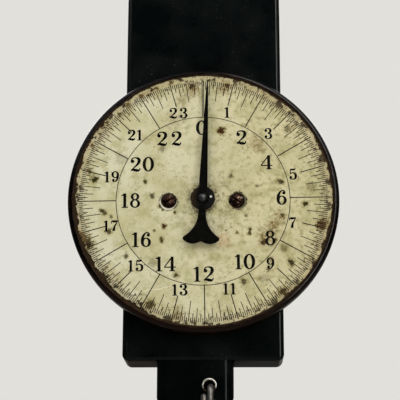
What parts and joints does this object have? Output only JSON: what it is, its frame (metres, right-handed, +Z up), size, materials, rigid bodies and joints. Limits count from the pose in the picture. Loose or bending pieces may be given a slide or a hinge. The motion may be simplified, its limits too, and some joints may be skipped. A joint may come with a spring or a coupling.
{
  "type": "hanging scale",
  "caption": "Hanging dial scale: enamelled case, round dial with a turning pointer, and a load hook on a sprung sliding channel.",
  "frame": {"origin": "middle of the hanging hole in the strap above the case", "axes": "+Z up, -Y towards the reader of the dial, +X to the reader's right"},
  "size_m": [0.2054, 0.0544, 0.4466],
  "materials": {
    "black_enamel": "gloss",
    "pointer_black": "satin",
    "dial_face": "satin, stained",
    "dark_screws": "browned",
    "plain_steel": "dull",
    "zinc": "zinc plated",
    "brass": "dull"
  },
  "bodies": {
    "case": {"case_shell": "black_enamel", "case_back": "black_enamel", "case_screws": "dark_screws", "top_anchor": "zinc", "hanger_strap": "black_enamel", "hanger_rivets": "plain_steel", "zero_washer": "zinc", "spring_left": "plain_steel", "spring_right": "plain_steel", "bottom_guide": "zinc", "side_guide_left": "zinc", "side_guide_right": "zinc", "guide_rivets": "plain_steel", "stop_pin": "plain_steel", "arbor_bridge": "zinc", "bridge_screws": "dark_screws", "front_bush": "brass", "rear_bush": "brass", "dial_plate": "dial_face", "dial_rim": "black_enamel", "dial_post_left": "zinc", "dial_post_right": "zinc", "dial_screws": "dark_screws"},
    "load_frame": {"load_channel": "black_enamel", "channel_tie": "black_enamel", "rack": "plain_steel", "rack_rivets": "plain_steel", "hook_eyelet": "plain_steel", "lower_spring_bar": "plain_steel"},
    "pointer_arbor": {"arbor": "plain_steel", "pinion": "brass", "pointer": "pointer_black", "pointer_hub": "pointer_black", "pointer_nut": "pointer_black"},
    "hook": {"load_hook": "plain_steel"},
    "zero_beam": {"zero_screw": "zinc", "upper_spring_bar": "plain_steel"},
    "zero_knob": {"zero_nut": "brass"}
  },
  "joints": [
    {"name": "load_slide", "type": "slide", "parent": "case", "child": "load_frame", "axis": [0, 0, -1], "range_m": [0, 0.0402], "stiffness_N_per_m": 2610, "springref_m": -0.0015, "deforming": ["spring_left", "spring_right"]},
    {"name": "pointer_turn", "type": "hinge", "parent": "case", "child": "pointer_arbor", "pos_m": [0, -0.041, -0.2085], "axis": [0, 1, 0], "range_deg": [0, 360]},
    {"name": "hook_swing", "type": "hinge", "parent": "load_frame", "child": "hook", "pos_m": [0.0056, -0.0248, -0.3481], "axis": [0, 1, 0], "range_deg": [-20, 20]},
    {"name": "zero_turn", "type": "hinge", "parent": "case", "child": "zero_knob", "pos_m": [0.0047, -0.01, -0.0195], "axis": [0, 0, 1], "range_deg": [-720, 720]},
    {"name": "zero_lift", "type": "slide", "parent": "case", "child": "zero_beam", "axis": [0, 0, 1], "range_m": [-0.0017, 0.0017], "deforming": ["spring_left", "spring_right"]}
  ],
  "couplings": [
    {"joint": "pointer_turn", "follows": "load_slide", "rad_per_m": 156.25},
    {"joint": "zero_lift", "follows": "zero_turn", "m_per_rad": -0.00012732}
  ]
}
